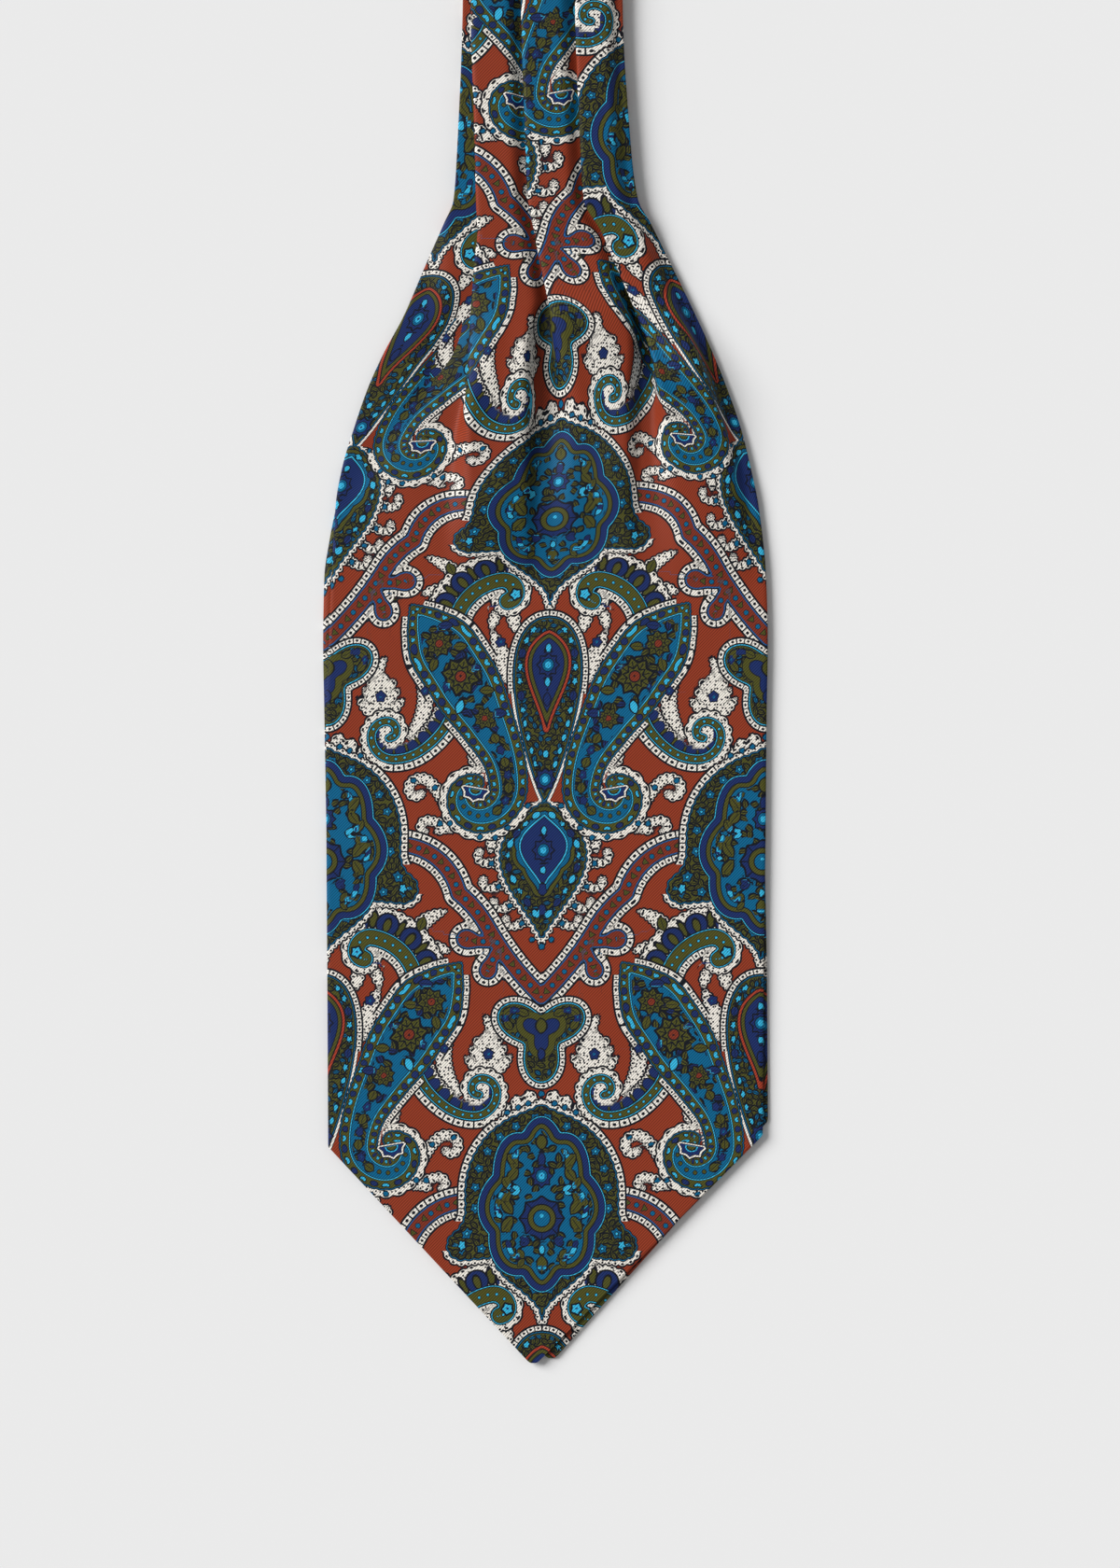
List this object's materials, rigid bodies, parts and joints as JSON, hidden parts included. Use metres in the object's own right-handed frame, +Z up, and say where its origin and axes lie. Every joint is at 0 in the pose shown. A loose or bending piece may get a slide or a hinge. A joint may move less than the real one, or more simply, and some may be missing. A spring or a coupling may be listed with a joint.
{
  "type": "silk cravat",
  "caption": "Day cravat in printed silk twill, laid flat and folded in half at the neck, with pleats pressed in the neckband and let out into broad pointed blades.",
  "frame": {"origin": "middle of the box that holds the folded cravat, on the surface it lies on", "axes": "+Y from the points of the blades to the fold at the back of the neck, +Z up out of the surface, through the front blade's face, +X to the right for someone who looks down on the face with the points towards them"},
  "size_m": [0.1572, 0.5999, 0.0107],
  "materials": {
    "printed_silk": "fine diagonal silk twill with a soft sheen, printed with a paisley of teal, olive and navy with ivory edges on rust",
    "thread": "matte rust sewing thread"
  },
  "bodies": {
    "root": {"front_length": "printed_silk", "under_blade": "printed_silk", "under_band": "printed_silk"}
  },
  "joints": []
}
